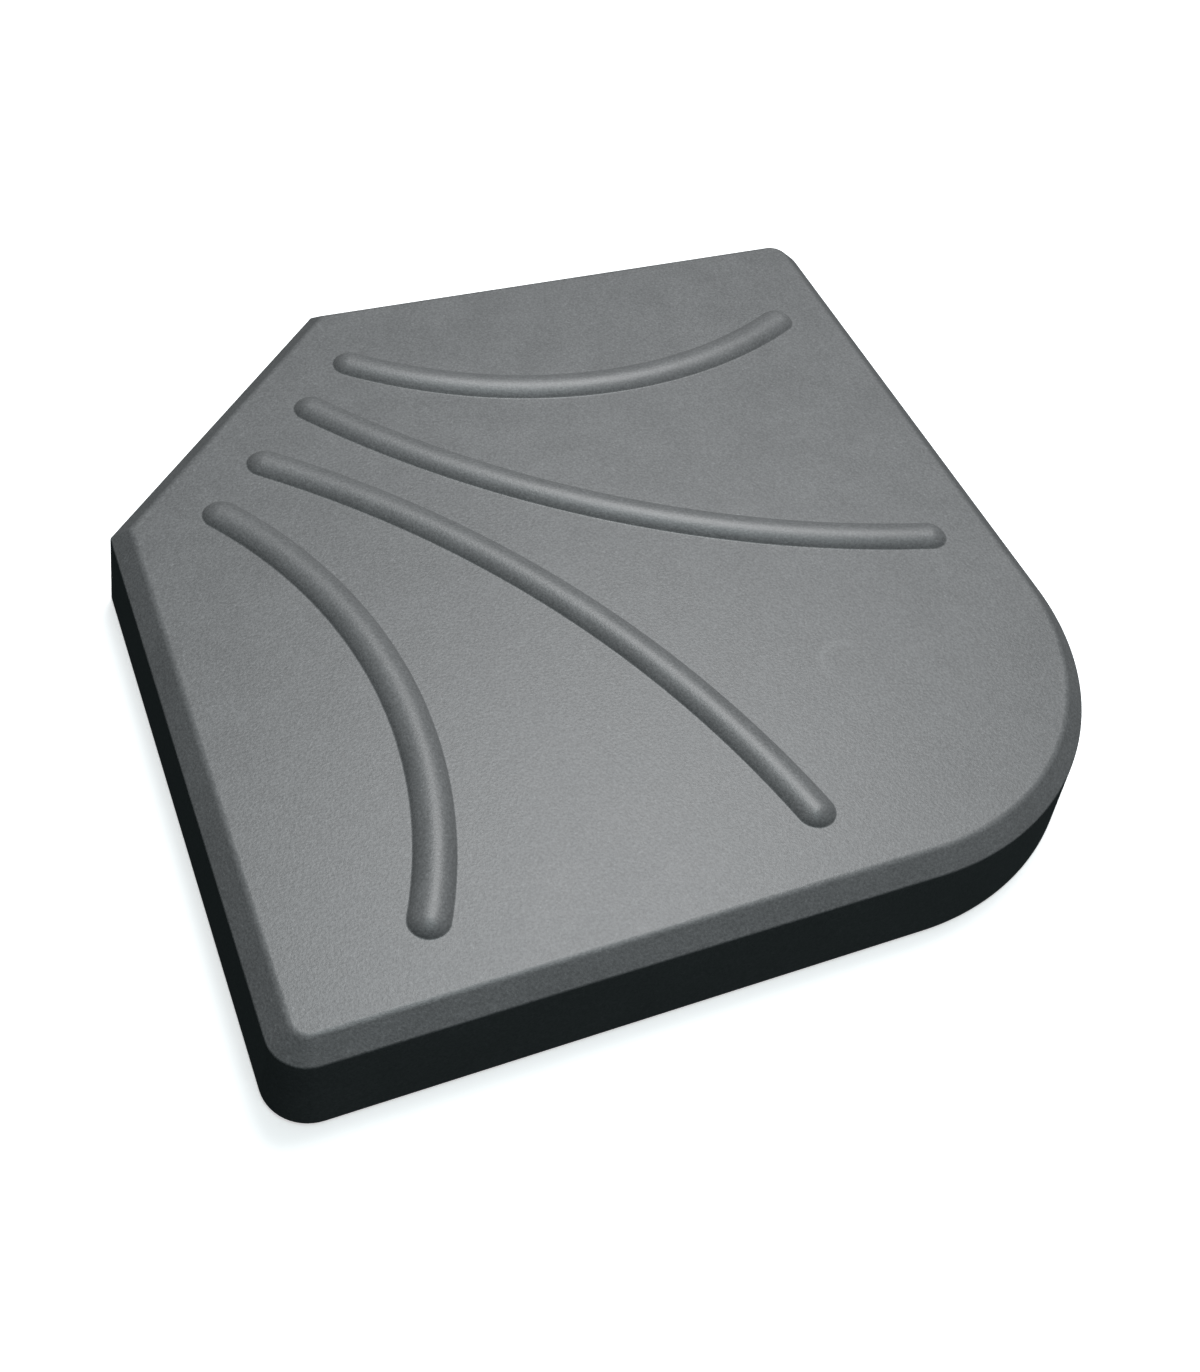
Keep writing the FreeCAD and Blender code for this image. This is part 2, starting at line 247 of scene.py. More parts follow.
def roundedLine(points, radii, steps):      # a section line with its inner corners rounded
    line = [points[0]]
    for i in range(1, len(points) - 1):
        before, spot, after = (Vector(p) for p in points[i - 1:i + 2])
        radius = radii[i - 1]
        back = (before - spot).normalized()
        ahead = (after - spot).normalized()
        halfAngle = back.angle(ahead) / 2
        reach = radius / math.tan(halfAngle)
        centre = spot + (back + ahead).normalized() * (radius / math.sin(halfAngle))
        first = spot + back * reach - centre
        last = spot + ahead * reach - centre
        whole = first.angle_signed(last)
        for k in range(steps + 1):
            line.append(tuple(centre + Matrix.Rotation(-whole * k / steps, 2) @ first))
    line.append(points[-1])
    return line


def cavitySection(depth):       # foot, shoulder and top edge of the surface that lies depth inside
    shape = shellShape
    lean = math.atan2(shape["wallDraft"], shoulderLevel - rimLevel)
    slope = math.atan2(shape["bevelDrop"], shape["bevelWidth"])
    slack = depth * math.tan((math.pi / 2 - lean - slope) / 2)
    shoulder = (shape["wallDraft"] + depth * math.cos(lean) - slack * math.sin(lean),
                shoulderLevel - depth * math.sin(lean) - slack * math.cos(lean))
    topInset = shape["wallDraft"] + shape["bevelWidth"] + depth * math.tan(slope / 2)
    foot = depth / math.cos(lean) + math.tan(lean) * shape["lipHeight"]
    return foot, shoulder, (topInset, topLevel - depth)


def shellLine():                # inset and level of each ring, from the top edge to the cavity
    shape = shellShape
    topInset = shape["wallDraft"] + shape["bevelWidth"]
    inner = topInset + shape["topEdgeRadius"] * 2       # only gives the top face's direction
    outside = [(inner, topLevel), (topInset, topLevel), (shape["wallDraft"], shoulderLevel),
               (0.0, rimLevel)]
    radii = (shape["topEdgeRadius"], shape["shoulderRadius"])
    outside = roundedLine(outside, radii, shape["edgeSteps"])[1:]
    ledge = rimLevel + shape["lipHeight"]
    foot, shoulder, top = cavitySection(shape["wall"])
    lip = shape["lipThickness"]
    return outside + [(lip, rimLevel), (lip, ledge), (foot, ledge), shoulder, top]


def beadPaths():                # start, middle and end of each bead's arc
    shape = beadShape
    shoulderHalf = halfSide - shellShape["wallDraft"]
    leg = shellShape["cornerCut"] - shellShape["wallDraft"] * (2 - math.sqrt(2))
    startLine = (2 * shoulderHalf - leg) / math.sqrt(2) - shape["startInset"]
    paths = []
    for aside, lastEnd, radius in (shape["outerBead"], shape["innerBead"]):
        endY = shoulderHalf - lastEnd if lastEnd > 0 else lastEnd
        start = Vector(((aside - startLine) / math.sqrt(2), (aside + startLine) / math.sqrt(2), 0))
        end = Vector((shoulderHalf - shape["endInset"], endY, 0))
        chord = end - start
        across = Vector((0, 0, 1)).cross(chord).normalized()
        centre = (start + end) / 2 + across * math.sqrt(radius ** 2 - chord.length ** 2 / 4)
        middle = centre - across * radius
        paths.append((start, middle, end))
        paths.append(tuple(Vector((-p.y, -p.x, 0)) for p in (end, middle, start)))
    return paths


def newTree(name, inputs):
    tree = bpy.data.node_groups.new(name, "GeometryNodeTree")
    for label, kind in inputs:
        tree.interface.new_socket(label, in_out="INPUT", socket_type="NodeSocket" + kind)
    tree.interface.new_socket("Geometry", in_out="OUTPUT", socket_type="NodeSocketGeometry")
    return tree, tree.nodes.new("NodeGroupInput").outputs


def endTree(tree, geometry, material):
    real = tree.nodes.new("GeometryNodeRealizeInstances")
    paint = tree.nodes.new("GeometryNodeSetMaterial")
    out = tree.nodes.new("NodeGroupOutput")
    tree.links.new(geometry, real.inputs[0])
    tree.links.new(real.outputs[0], paint.inputs["Geometry"])
    tree.links.new(material, paint.inputs["Material"])
    tree.links.new(paint.outputs[0], out.inputs[0])


def shareOf(tree, value, whole):            # value / whole, kept between 0 and 1
    return addRange(tree, calc(tree, "DIVIDE", value, whole), 0.0, 1.0, smooth=False)


def beadSection(tree, given, ring):         # how far out and up each ring lies: crown, then root
    crown, root, rise = given["Crown Radius"], given["Root Radius"], given["Rise"]
    both = calc(tree, "ADD", crown, root)
    flat = calc(tree, "DIVIDE", calc(tree, "SUBTRACT", both, rise), both)
    slope = calc(tree, "ARCCOSINE", flat)
    crownTurn = calc(tree, "MULTIPLY", shareOf(tree, ring, given["Crown Steps"]), slope)
    crownOut = calc(tree, "MULTIPLY", crown, calc(tree, "SINE", crownTurn))
    crownBase = calc(tree, "SUBTRACT", rise, crown)
    crownUp = calc(tree, "MULTIPLY_ADD", crown, calc(tree, "COSINE", crownTurn), crownBase)
    pastCrown = calc(tree, "SUBTRACT", ring, given["Crown Steps"])
    rootShare = shareOf(tree, pastCrown, given["Root Steps"])
    rootTurn = calc(tree, "MULTIPLY", calc(tree, "SUBTRACT", 1.0, rootShare), slope)
    rootEdge = calc(tree, "MULTIPLY", both, calc(tree, "SINE", slope))
    rootIn = calc(tree, "MULTIPLY", root, calc(tree, "SINE", rootTurn))
    rootOut = calc(tree, "SUBTRACT", rootEdge, rootIn)
    rootDown = calc(tree, "MULTIPLY", root, calc(tree, "COSINE", rootTurn))
    rootUp = calc(tree, "SUBTRACT", root, rootDown)
    inRoot = calc(tree, "GREATER_THAN", pastCrown, 0.001)      # a hair past the last crown ring
    picked = []
    for crownValue, rootValue in ((crownOut, rootOut), (crownUp, rootUp)):
        pick = addNode(tree, "GeometryNodeSwitch", {"input_type": "FLOAT"})
        tree.links.new(inRoot, pick.inputs["Switch"])
        tree.links.new(crownValue, pick.inputs["False"])
        tree.links.new(rootValue, pick.inputs["True"])
        picked.append(pick.outputs[0])
    return picked


def makeBeadTree():             # a grid wrapped round an arc: there, round its end, and back
    tree, given = newTree("mouldedBead", (
        ("Start", "Vector"), ("Middle", "Vector"), ("End", "Vector"),
        ("Crown Radius", "Float"), ("Rise", "Float"), ("Root Radius", "Float"), ("Level", "Float"),
        ("Arc Points", "Int"), ("Along Steps", "Int"), ("Cap Steps", "Int"),
        ("Crown Steps", "Int"), ("Root Steps", "Int"), ("Material", "Material")))
    arc = addNode(tree, "GeometryNodeCurveArc", {"mode": "POINTS"})
    tree.links.new(given["Arc Points"], arc.inputs["Resolution"])
    for label in ("Start", "Middle", "End"):
        tree.links.new(given[label], arc.inputs[label])

    along, cap = given["Along Steps"], given["Cap Steps"]
    rings = calc(tree, "ADD", given["Crown Steps"], given["Root Steps"])
    stations = calc(tree, "MULTIPLY", calc(tree, "ADD", along, cap), 2.0)
    grid = addNode(tree, "GeometryNodeMeshGrid", inputs={"Size X": 1.0, "Size Y": 1.0})
    tree.links.new(calc(tree, "ADD", rings, 1.0), grid.inputs["Vertices X"])
    tree.links.new(calc(tree, "ADD", stations, 1.0), grid.inputs["Vertices Y"])
    place = addNode(tree, "ShaderNodeSeparateXYZ")
    tree.links.new(tree.nodes.new("GeometryNodeInputPosition").outputs[0], place.inputs[0])
    ring = calc(tree, "MULTIPLY", calc(tree, "ADD", place.outputs["X"], 0.5), rings)
    station = calc(tree, "MULTIPLY", calc(tree, "ADD", place.outputs["Y"], 0.5), stations)
    out, up = beadSection(tree, given, ring)

    pastThere = calc(tree, "SUBTRACT", station, along)
    pastCap = calc(tree, "SUBTRACT", pastThere, cap)
    pastBack = calc(tree, "SUBTRACT", pastCap, along)
    there, back = shareOf(tree, station, along), shareOf(tree, pastCap, along)
    firstCap, lastCap = shareOf(tree, pastThere, cap), shareOf(tree, pastBack, cap)
    turn = calc(tree, "MULTIPLY", calc(tree, "ADD", firstCap, lastCap), math.pi)
    sample = addNode(tree, "GeometryNodeSampleCurve", {"mode": "FACTOR"})
    tree.links.new(arc.outputs["Curve"], sample.inputs["Curves"])
    tree.links.new(calc(tree, "SUBTRACT", there, back), sample.inputs["Factor"])
    ahead = sample.outputs["Tangent"]
    aside = calcVector(tree, "CROSS_PRODUCT", (0.0, 0.0, 1.0), ahead)
    way = calcVector(tree, "ADD", calcVector(tree, "SCALE", aside, calc(tree, "COSINE", turn)),
                     calcVector(tree, "SCALE", ahead, calc(tree, "SINE", turn)))
    height = addNode(tree, "ShaderNodeCombineXYZ")
    tree.links.new(calc(tree, "ADD", up, given["Level"]), height.inputs["Z"])
    spot = calcVector(tree, "ADD", sample.outputs["Position"], calcVector(tree, "SCALE", way, out))
    spot = calcVector(tree, "ADD", spot, height.outputs[0])

    move = tree.nodes.new("GeometryNodeSetPosition")
    tree.links.new(grid.outputs["Mesh"], move.inputs["Geometry"])
    tree.links.new(spot, move.inputs["Position"])
    merge = addNode(tree, "GeometryNodeMergeByDistance", inputs={"Distance": mergeDistance})
    tree.links.new(move.outputs[0], merge.inputs["Geometry"])
    endTree(tree, merge.outputs[0], given["Material"])
    return tree


def makeBossTree():             # one boss stood on every point and turned to its wall
    tree, given = newTree("screwBosses", (
        ("Points", "Geometry"), ("Boss", "Object"), ("Material", "Material")))
    turn = addNode(tree, "GeometryNodeInputNamedAttribute",
                   {"data_type": "FLOAT"}, {"Name": "turn"})
    angles = addNode(tree, "ShaderNodeCombineXYZ")
    tree.links.new(turn.outputs["Attribute"], angles.inputs["Z"])
    info = addNode(tree, "GeometryNodeObjectInfo", {"transform_space": "ORIGINAL"})
    tree.links.new(given["Boss"], info.inputs["Object"])
    stand = tree.nodes.new("GeometryNodeInstanceOnPoints")
    tree.links.new(given["Points"], stand.inputs["Points"])
    tree.links.new(info.outputs["Geometry"], stand.inputs["Instance"])
    tree.links.new(angles.outputs[0], stand.inputs["Rotation"])
    endTree(tree, stand.outputs[0], given["Material"])
    return tree


def runTree(tree, mesh, values):            # the tree's result as a plain mesh, in metres
    holder = bpy.data.objects.new("treeHolder", mesh)
    scene.collection.objects.link(holder)
    modifier = holder.modifiers.new(tree.name, "NODES")
    modifier.node_group = tree
    items = tree.interface.items_tree
    sockets = {item.name: item.identifier for item in items if item.in_out == "INPUT"}
    for label, value in values.items():
        modifier[sockets[label]] = value
    bpy.context.view_layer.update()
    ready = holder.evaluated_get(bpy.context.evaluated_depsgraph_get())
    result = bpy.data.meshes.new_from_object(ready)
    holder.modifiers.clear()
    bpy.data.objects.remove(holder)
    bpy.data.meshes.remove(mesh)
    return result


def beadMesh(tree, path, depth, material):
    shape = beadShape
    crown = (shape["width"] ** 2 / 4 + shape["rise"] ** 2) / (2 * shape["rise"])
    start, middle, end = (tuple(point * mm) for point in path)
    return runTree(tree, bpy.data.meshes.new("empty"), {
        "Start": start, "Middle": middle, "End": end,
        "Crown Radius": (crown - depth) * mm,
        "Rise": shape["rise"] * mm,
        "Root Radius": 0.0 if depth else shape["rootRadius"] * mm,
        "Level": (topLevel - depth) * mm,
        "Arc Points": shape["arcPoints"],
        "Along Steps": shape["alongSteps"], "Cap Steps": shape["capSteps"],
        "Crown Steps": shape["crownSteps"], "Root Steps": shape["rootSteps"],
        "Material": material})


def bossPlaces():               # place and turn: two on every straight side, one in the wide corner
    ring = outlineRing(bossShape["inset"])
    places = []
    first = 0
    for i, count in enumerate(shellShape["cornerSteps"]):
        start = ring[first + count]
        end = ring[(first + count + 1) % len(ring)]
        run = end - start
        for share in (bossShape["share"], 1 - bossShape["share"]):
            places.append((start + run * share, math.atan2(-run.x, run.y)))
        if i == shellShape["wideCorner"]:
            places.append((ring[first + count // 2], -math.pi / 4))
        first += count + 1
    return places


def bossMesh():                 # a drilled post up to the cavity's ceiling, and a web to the wall
    shape = bossShape
    low = rimLevel + shellShape["lipHeight"]
    _, shoulder, top = cavitySection(shellShape["wall"])
    fall = (top[1] - shoulder[1]) / (top[0] - shoulder[0])
    outer, pilot = shape["diameter"] / 2, shape["pilot"] / 2
    drilled = low + shape["pilotDepth"]
    line = [(0, drilled), (pilot, drilled), (pilot, low), (outer, low), (outer, None), (0, None)]
    steps = shape["sides"]

    def ceiling(x):             # a little inside the shell's wall
        return top[1] - max(top[0] - shape["inset"] + x, 0) * fall + shape["bite"]

    bm = bmesh.new()
    rings = []
    for radius, level in line:
        ring = []
        for k in range(steps):
            x, y = (radius * way(2 * math.pi * k / steps) for way in (math.cos, math.sin))
            z = ceiling(x) if level is None else level
            ring.append(bm.verts.new(Vector((x, y, z)) * mm))
        rings.append(ring)
    for inner, outerRing in zip(rings, rings[1:]):
        for k in range(steps):
            n = (k + 1) % steps
            bm.faces.new((inner[k], inner[n], outerRing[n], outerRing[k]))
    bmesh.ops.remove_doubles(bm, verts=bm.verts, dist=mergeDistance)
    near, half = outer * shape["webStart"], shape["web"] / 2
    footX, headX = shape["inset"] - shape["webFoot"], shape["inset"] - shape["webHead"]
    head = shoulder[1] - shape["bite"]
    ends = ((near, low), (near, ceiling(near)), (footX, low), (headX, head))
    web = [bm.verts.new(Vector((x, y, z)) * mm) for x, z in ends for y in (-half, half)]
    sides = ((0, 1, 3, 2), (4, 6, 7, 5), (0, 4, 5, 1), (2, 3, 7, 6), (0, 2, 6, 4), (1, 5, 7, 3))
    for corners in sides:
        bm.faces.new([web[k] for k in corners])
    bmesh.ops.recalc_face_normals(bm, faces=bm.faces)
    mesh = bpy.data.meshes.new("oneBoss")
    bm.to_mesh(mesh)
    bm.free()
    return mesh


def bossesMesh(material):
    places = bossPlaces()
    points = bpy.data.meshes.new("bossPoints")
    points.from_pydata([(place.x * mm, place.y * mm, 0) for place, _ in places], [], [])
    turns = points.attributes.new("turn", "FLOAT", "POINT")
    for k, (_, turn) in enumerate(places):
        turns.data[k].value = turn
    single = bossMesh()
    oneBoss = bpy.data.objects.new("oneBoss", single)
    scene.collection.objects.link(oneBoss)
    bosses = runTree(makeBossTree(), points, {"Boss": oneBoss, "Material": material})
    bpy.data.objects.remove(oneBoss)
    bpy.data.meshes.remove(single)
    return bosses


def fillLevel(bm, level):       # closes the open loops that lie at one height, islands left open
    loops = [edge for edge in bm.edges if edge.is_boundary
             and all(abs(vert.co.z - level * mm) < levelSlack for vert in edge.verts)]
    bmesh.ops.triangle_fill(bm, edges=loops, use_beauty=True, use_dissolve=False, normal=(0, 0, 1))


def addMesh(bm, mesh):
    bm.from_mesh(mesh)
    bpy.data.meshes.remove(mesh)


def buildSkin(bm, material):    # a section carried round the outline, beads, and flat faces between
    rings = []
    for inset, level in shellLine():
        ring = outlineRing(inset)
        rings.append([bm.verts.new((p.x * mm, p.y * mm, level * mm)) for p in ring])
    for upper, lower in zip(rings, rings[1:]):
        for k in range(len(upper)):
            n = (k + 1) % len(upper)
            bm.faces.new((upper[k], lower[k], lower[n], upper[n]))
    beadTree = makeBeadTree()
    for depth in (0.0, shellShape["wall"]):
        for path in beadPaths():
            addMesh(bm, beadMesh(beadTree, path, depth, material))
    bmesh.ops.remove_doubles(bm, verts=bm.verts, dist=mergeDistance)
    fillLevel(bm, topLevel)
    fillLevel(bm, topLevel - shellShape["wall"])
    bmesh.ops.recalc_face_normals(bm, faces=bm.faces)
    openEdges = sum(edge.is_boundary for edge in bm.edges)
    print("   shell skin:", len(bm.faces), "faces,", openEdges, "open edges")


def makeShell(material):
    bm = bmesh.new()
    buildSkin(bm, material)
    addMesh(bm, bossesMesh(material))
    mesh = bpy.data.meshes.new("mouldedShell")
    bm.to_mesh(mesh)
    bm.free()
    mesh.materials.clear()
    mesh.materials.append(material)
    for polygon in mesh.polygons:
        polygon.material_index = 0
        polygon.use_smooth = True
    mesh.set_sharp_from_angle(angle=math.radians(shellShape["sharpAngle"]))
    shell = bpy.data.objects.new("mouldedShell", mesh)
    scene.collection.objects.link(shell)
    weighted = shell.modifiers.new("weightedNormals", "WEIGHTED_NORMAL")
    weighted.keep_sharp = True
    weighted.weight = shellShape["flatWeight"]
    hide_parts("outer_shell")
    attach(shell, "root")


# finish of the moulded shell

noiseSpan = (0.3, 0.7)          # most of a noise's values lie between these
shellFinish = {                 # a noise is scale, detail, roughness
    "colour": (0.1175, 0.1190, 0.1210, 1.0),
    "paintedGlintColour": (0.158, 0.160, 0.1625, 1.0),  # painted highlight: pale glints in the grain and on the lit side of the round mark
    "roughness": (0.425, 0.455),
    "grain": (780.0, 3.0, 0.62),                # spark-eroded grain, about 1 mm
    "grainDepth": 0.00019,
    "grainStrength": 0.8,
    "fine": (1900.0, 1.0, 0.5),
    "fineDepth": 0.00005,
    "fineStrength": 0.5,
    "speckle": (0.80, 1.20),                    # dark and light of the grain
    "speckleRange": (0.34, 0.66),
    "clouds": (34.0, 5.0, 0.62),                # 15 to 30 mm across
    "cloudiness": (0.96, 1.045),                # dark and light of the clouds
    "cloudRange": (0.32, 0.68),
    # painted glints: pale specks of highlight scattered in the grain
    "paintedGlints": (480.0, 2.0, 0.7),
    "glintRange": (0.57, 0.72),
    "paintedGlintShare": 0.7,
    "ringPlace": (0.098, -0.108, 0.0),          # round witness mark near the filling port, a faint relief; its pale arc is painted highlight
    "ringRadius": 0.0125,
    "ringWidth": 0.0038,
    "ringShare": 0.55,
    "ringLitSide": (-0.45, 0.89, 0.0),             # the lit side, where the mark's painted highlight lies
    "ringFade": (-0.004, 0.008),
    "ringLeast": 0.15,
    "ringLevels": (0.050, 0.0555),              # only the top face has it
    "ior": 1.5,
}


def paintedRingHighlight(tree, place, finish):           # painted highlight: how pale the lit side of the round mark makes each spot
    fromCentre = calcVector(tree, "SUBTRACT", place, finish["ringPlace"])
    flat = calcVector(tree, "MULTIPLY", fromCentre, (1.0, 1.0, 0.0))
    fromRing = calc(tree, "SUBTRACT", calcVector(tree, "LENGTH", flat), finish["ringRadius"])
    offRing = calc(tree, "ABSOLUTE", fromRing)
    line = addRange(tree, offRing, 0.0, finish["ringWidth"], finish["ringShare"], 0.0)
    side = calcVector(tree, "DOT_PRODUCT", flat, finish["ringLitSide"])
    litHalf = addRange(tree, side, *finish["ringFade"], finish["ringLeast"], 1.0)
    level = addNode(tree, "ShaderNodeSeparateXYZ")
    tree.links.new(place, level.inputs[0])
    onTop = addRange(tree, level.outputs["Z"], *finish["ringLevels"])
    return calc(tree, "MULTIPLY", calc(tree, "MULTIPLY", line, litHalf), onTop)


def makeShellMaterial(finish):
    material, tree = newMaterial("mouldedShell")
    place = objectPlace(tree)
    grain = addNoise(tree, place, *finish["grain"])
    fine = addNoise(tree, place, *finish["fine"])
    clouds = addNoise(tree, place, *finish["clouds"])
    paintedGlints = addNoise(tree, place, *finish["paintedGlints"])

    # painted highlight: pale glints in the grain and the lit side of the round mark
    paintedGlintShare = addRange(tree, paintedGlints, *finish["glintRange"], 0.0, finish["paintedGlintShare"])
    paintedHighlightShare = calc(tree, "MAXIMUM", paintedGlintShare, paintedRingHighlight(tree, place, finish))
    base = addMix(tree, paintedHighlightShare, finish["colour"], finish["paintedGlintColour"])
    speckle = addRange(tree, grain, *finish["speckleRange"], *finish["speckle"], smooth=False)
    cloudiness = addRange(tree, clouds, *finish["cloudRange"], *finish["cloudiness"])
    colour = calcVector(tree, "SCALE", base, calc(tree, "MULTIPLY", speckle, cloudiness))

    roughness = addRange(tree, clouds, *noiseSpan, *finish["roughness"])
    normal = addBump(tree, grain, finish["grainDepth"], finish["grainStrength"])
    normal = addBump(tree, fine, finish["fineDepth"], finish["fineStrength"], normal)
    finishMaterial(tree, colour, roughness, normal, {"IOR": finish["ior"]})
    return material


shellMaterial = makeShellMaterial(shellFinish)
dress(["outer_shell"], shellMaterial)
makeShell(shellMaterial)
print("stage 2: shell built and dressed")


# concrete filling

concreteFinish = {
    "sand": (0.36, 0.35, 0.32, 1.0),
    "cement": (0.47, 0.46, 0.44, 1.0),
    "stone": (0.24, 0.22, 0.20, 1.0),
    "clouds": (22.0, 6.0, 0.65),
    "cloudRange": (0.35, 0.65),
    "sandScale": 1300.0,
    "sandShare": 0.4,           # of the relief, the rest is pores
    "stoneScale": 95.0,
    "stoneEdge": (0.16, 0.24),
    "stoneShare": 0.55,
    "poreScale": 260.0,
    "poreEdge": (0.05, 0.22),
    "depth": 0.0006,
    "strength": 0.7,
    "roughness": (0.85, 0.95),
}


def makeConcreteMaterial(finish):
    material, tree = newMaterial("castConcrete")
    place = objectPlace(tree)
    clouds = addNoise(tree, place, *finish["clouds"])
    sand = addNoise(tree, place, finish["sandScale"])
    stones = addCells(tree, place, finish["stoneScale"])
    pores = addCells(tree, place, finish["poreScale"])
    stoneShare = addRange(tree, stones, *finish["stoneEdge"], finish["stoneShare"], 0.0)
    cementShare = addRange(tree, clouds, *finish["cloudRange"])
    base = addMix(tree, cementShare, finish["sand"], finish["cement"])
    colour = addMix(tree, stoneShare, base, finish["stone"])
    sandHeight = calc(tree, "MULTIPLY", sand, finish["sandShare"])
    height = calc(tree, "ADD", addRange(tree, pores, *finish["poreEdge"]), sandHeight)
    normal = addBump(tree, height, finish["depth"], finish["strength"])
    roughness = addRange(tree, clouds, *noiseSpan, *finish["roughness"])
    finishMaterial(tree, colour, roughness, normal)
    return material


dress(["concrete_core"], makeConcreteMaterial(concreteFinish))
print("stage 3: concrete dressed")


# base plate, plugs and feet

plateFinish = {
    "colour": (0.020, 0.021, 0.022, 1.0),
    "flowColour": (0.034, 0.035, 0.037, 1.0),
    "flow": (30.0, 4.0, 0.6),
    "flowRange": (0.35, 0.7),
    "stretch": (1, 0.25, 1),                    # flow lines of the moulding run along Y
    "grainScale": 900.0,
    "grainDepth": 0.00014,
    "grainStrength": 0.5,
    "roughness": (0.45, 0.62),
}
plugFinish = {
    "colour": (0.050, 0.052, 0.055, 1.0),
    "flowColour": (0.070, 0.072, 0.076, 1.0),
    "flow": (30.0, 4.0, 0.6),
    "flowRange": (0.35, 0.7),
    "stretch": (1, 1, 1),
    "grainScale": 1300.0,
    "grainDepth": 0.00006,
    "grainStrength": 0.5,
    "roughness": (0.33, 0.45),
}
footFinish = {
    "colour": (0.012, 0.012, 0.012, 1.0),
    "flowColour": (0.026, 0.025, 0.024, 1.0),
    "flow": (30.0, 4.0, 0.6),
    "flowRange": (0.35, 0.7),
    "stretch": (1, 1, 1),
    "grainScale": 1700.0,
    "grainDepth": 0.00008,
    "grainStrength": 0.5,
    "roughness": (0.78, 0.92),
}


def makeMouldedMaterial(name, finish):
    material, tree = newMaterial(name)
    place = objectPlace(tree)
    flow = addNoise(tree, place, *finish["flow"], finish["stretch"])
    grain = addNoise(tree, place, finish["grainScale"])
    flowShare = addRange(tree, flow, *finish["flowRange"])
    colour = addMix(tree, flowShare, finish["colour"], finish["flowColour"])
    roughness = addRange(tree, flow, *noiseSpan, *finish["roughness"])
    normal = addBump(tree, grain, finish["grainDepth"], finish["grainStrength"])
    finishMaterial(tree, colour, roughness, normal)
    return material


# screws

screwFinish = {
    "colour": (0.60, 0.61, 0.63, 1.0),
    "passivated": (0.52, 0.55, 0.60, 1.0),      # bluish zinc film
    "film": (420.0, 3.0, 0.6),
    "filmRange": (0.35, 0.65),
    "filmDepth": 0.00003,
    "filmStrength": 0.3,
    "roughness": (0.24, 0.40),
}


def makeScrewMaterial(finish):
    material, tree = newMaterial("zincPlate")
    place = objectPlace(tree)
    film = addNoise(tree, place, *finish["film"])
    filmShare = addRange(tree, film, *finish["filmRange"])
    colour = addMix(tree, filmShare, finish["colour"], finish["passivated"])
    roughness = addRange(tree, film, *noiseSpan, *finish["roughness"])
    normal = addBump(tree, film, finish["filmDepth"], finish["filmStrength"])
    finishMaterial(tree, colour, roughness, normal, {"Metallic": 1.0})
    return material


plugNames = [name for name in nodes if "plug" in name]
footNames = [name for name in nodes if name.startswith("foot_")]
dress(["base_plate"], makeMouldedMaterial("mouldedPlate", plateFinish))
dress(plugNames, makeMouldedMaterial("mouldedPlug", plugFinish))
dress(footNames, makeMouldedMaterial("rubberFoot", footFinish))
dress(["base_plate_screws"], makeScrewMaterial(screwFinish))
print("stage 4:", len(plugNames), "plugs and", len(footNames), "feet dressed")


# studio: pale sweep, one main lamp behind and above, two helpers, a faint room

sweepSet = {                    # metres
    "radius": 3.5,
    "rise": 2.2,
    "flatRings": 4,
    "bendRings": 24,
    "sides": 96,
    "colour": (0.88, 0.885, 0.89, 1.0),
    "shade": (0.8536, 0.85845, 0.8633, 1.0),
    "cloudScale": 1.5,
    "grainScale": 400.0,
    "grainDepth": 0.0001,
    "grainStrength": 0.05,
    "roughness": (0.85, 0.9),
    "gloss": 0.1,
    "glow": 0.60,
    "glowColour": (1.0, 1.0, 1.0, 1.0),
}
roomSet = {
    "colour": (0.72, 0.97, 1.0, 1.0),
    "strength": 0.03,
}
lamps = {                       # elevation and azimuth in degrees, distance and diameter in metres
    "mainLamp": {
        "elevation": 70, "azimuth": 46, "distance": 1.4, "size": 0.86,
        "radiance": 11.6, "colour": (1.0, 0.995, 1.0)},
    "topLamp": {
        "elevation": 90, "azimuth": 0, "distance": 1.8, "size": 0.9,
        "radiance": 4.2, "colour": (0.88, 1.0, 1.02)},
    "frontLamp": {
        "elevation": 66, "azimuth": 268, "distance": 1.8, "size": 0.6,
        "radiance": 5.6, "colour": (0.82, 1.0, 1.03)},
}


def sweepMesh(settings):        # a round floor that bends up into a wall, normals inwards
    flat, rise, sides = settings["radius"], settings["rise"], settings["sides"]
    flatRings, bendRings = settings["flatRings"], settings["bendRings"]
    profile = [(flat * k / flatRings, 0.0) for k in range(1, flatRings + 1)]
    for k in range(1, bendRings + 1):
        angle = math.pi / 2 * k / bendRings
        profile.append((flat + rise * math.sin(angle), rise * (1 - math.cos(angle))))
    points = [(0.0, 0.0, 0.0)]
    for radius, height in profile:
        for s in range(sides):
            turn = 2 * math.pi * s / sides
            points.append((radius * math.cos(turn), radius * math.sin(turn), height))
    faces = [(0, 1 + s, 1 + (s + 1) % sides) for s in range(sides)]
    for k in range(len(profile) - 1):
        for s in range(sides):
            a = 1 + k * sides + s
            b = 1 + k * sides + (s + 1) % sides
            faces.append((a, a + sides, b + sides, b))
    mesh = bpy.data.meshes.new("sweep")
    mesh.from_pydata(points, [], faces)
    for polygon in mesh.polygons:
        polygon.use_smooth = True
    return mesh


def makeSweepMaterial(settings):
    material, tree = newMaterial("paleSweep")
    place = objectPlace(tree)
    cloud = addNoise(tree, place, settings["cloudScale"])
    grain = addNoise(tree, place, settings["grainScale"])
    colour = addMix(tree, cloud, settings["colour"], settings["shade"])
    normal = addBump(tree, grain, settings["grainDepth"], settings["grainStrength"])
    roughness = addRange(tree, cloud, *noiseSpan, *settings["roughness"])
    finishMaterial(tree, colour, roughness, normal, {
        "Specular IOR Level": settings["gloss"],
        "Emission Strength": settings["glow"],
        "Emission Color": settings["glowColour"]})
    return material


